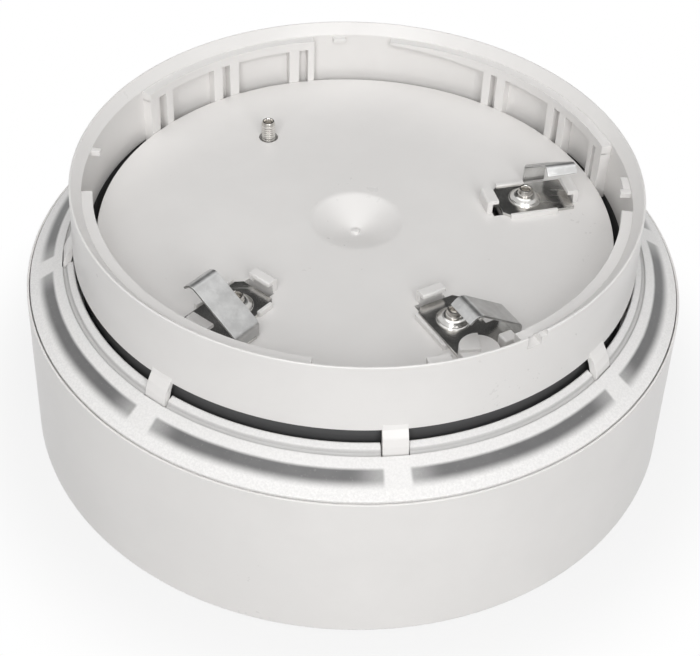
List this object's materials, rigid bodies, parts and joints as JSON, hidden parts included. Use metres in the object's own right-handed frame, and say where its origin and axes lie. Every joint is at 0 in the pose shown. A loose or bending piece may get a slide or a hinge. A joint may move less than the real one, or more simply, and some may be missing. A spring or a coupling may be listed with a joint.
{
  "type": "detector base sounder-beacon",
  "caption": "Ceiling drum with sounder, translucent beacon ring and an open round socket with spring contacts that a smoke detector twists into.",
  "frame": {"origin": "centre of the ceiling-side face, on the drum axis", "axes": "+Z along the drum axis, away from the ceiling, towards the detector; +X towards the spring contact that stands alone on its side; -Y is the front that the picture shows"},
  "size_m": [0.121, 0.121, 0.0516],
  "materials": {
    "white_housing": "satin",
    "frosted_lens": "frosted, translucent",
    "white_inner": "matt",
    "black_inner": "matt",
    "dark_board": "satin",
    "circuit_board": "satin",
    "lamp_chips": "gloss",
    "plated_steel": "bright",
    "spring_steel": "satin",
    "screw_steel": "bright",
    "brass_disc": "satin",
    "ceramic": "matt",
    "can_aluminium": "satin",
    "copper_wire": "satin",
    "switch_blue": "satin",
    "terminal_green": "satin",
    "lead_sleeve": "satin"
  },
  "bodies": {
    "housing": {"baffle_ring": "black_inner", "block_screws": "screw_steel", "board_screws": "screw_steel", "body_shell": "white_housing", "boost_coil": "copper_wire", "capacitors": "can_aluminium", "contact_leads": "copper_wire", "contact_plate_a": "plated_steel", "contact_plate_b": "plated_steel", "contact_plate_c": "plated_steel", "controller_chip": "black_inner", "dip_body": "switch_blue", "led_board": "dark_board", "led_lead": "lead_sleeve", "leds": "lamp_chips", "lens_ring": "frosted_lens", "lock_plug": "white_housing", "main_board": "circuit_board", "mounting_plate": "white_housing", "piezo_ceramic": "ceramic", "piezo_clamp": "black_inner", "piezo_disc": "brass_disc", "piezo_leads": "lead_sleeve", "reflector_ring": "white_inner", "socket_base": "white_housing", "socket_screws": "screw_steel", "sounder_cap": "black_inner", "sounder_cup": "black_inner", "sounder_screws": "screw_steel", "spare_screw": "screw_steel", "terminal_block": "terminal_green", "terminal_collars": "plated_steel", "terminal_screws": "screw_steel", "trimmer_body": "switch_blue", "wire_clamps": "plated_steel"},
    "blade_a": {"contact_blade_a": "spring_steel"},
    "blade_b": {"contact_blade_b": "spring_steel"},
    "blade_c": {"contact_blade_c": "spring_steel"},
    "switch_lever_1": {"dip_slider_1": "white_inner"},
    "switch_lever_2": {"dip_slider_2": "white_inner"},
    "switch_lever_3": {"dip_slider_3": "white_inner"},
    "switch_lever_4": {"dip_slider_4": "white_inner"},
    "switch_lever_5": {"dip_slider_5": "white_inner"},
    "volume_rotor": {"trimmer_rotor": "white_inner"}
  },
  "joints": [
    {"name": "blade_a_press", "type": "hinge", "parent": "housing", "child": "blade_a", "pos_m": [-0.01814, -0.03357, 0.04482], "axis": [-0.6184, -0.7859, 0], "range_deg": [0, 20], "stiffness_Nm_per_rad": 0.06, "springref_deg": -2.86},
    {"name": "blade_b_press", "type": "hinge", "parent": "housing", "child": "blade_b", "pos_m": [0.02544, -0.02844, 0.04482], "axis": [0.5299, -0.848, 0], "range_deg": [0, 20], "stiffness_Nm_per_rad": 0.06, "springref_deg": -2.86},
    {"name": "blade_c_press", "type": "hinge", "parent": "housing", "child": "blade_c", "pos_m": [0.03319, 0.01442, 0.04432], "axis": [0.9627, 0.2706, 0], "range_deg": [0, 20], "stiffness_Nm_per_rad": 0.06, "springref_deg": -2.86},
    {"name": "switch_1_slide", "type": "slide", "parent": "housing", "child": "switch_lever_1", "axis": [0, 1, 0], "range_m": [0, 0.0015]},
    {"name": "switch_2_slide", "type": "slide", "parent": "housing", "child": "switch_lever_2", "axis": [0, 1, 0], "range_m": [0, 0.0015]},
    {"name": "switch_3_slide", "type": "slide", "parent": "housing", "child": "switch_lever_3", "axis": [0, 1, 0], "range_m": [0, 0.0015]},
    {"name": "switch_4_slide", "type": "slide", "parent": "housing", "child": "switch_lever_4", "axis": [0, 1, 0], "range_m": [0, 0.0015]},
    {"name": "switch_5_slide", "type": "slide", "parent": "housing", "child": "switch_lever_5", "axis": [0, 1, 0], "range_m": [0, 0.0015]},
    {"name": "volume_turn", "type": "hinge", "parent": "housing", "child": "volume_rotor", "pos_m": [0.018, -0.022, 0.0105], "axis": [0, 0, -1], "range_deg": [-130, 130]}
  ]
}
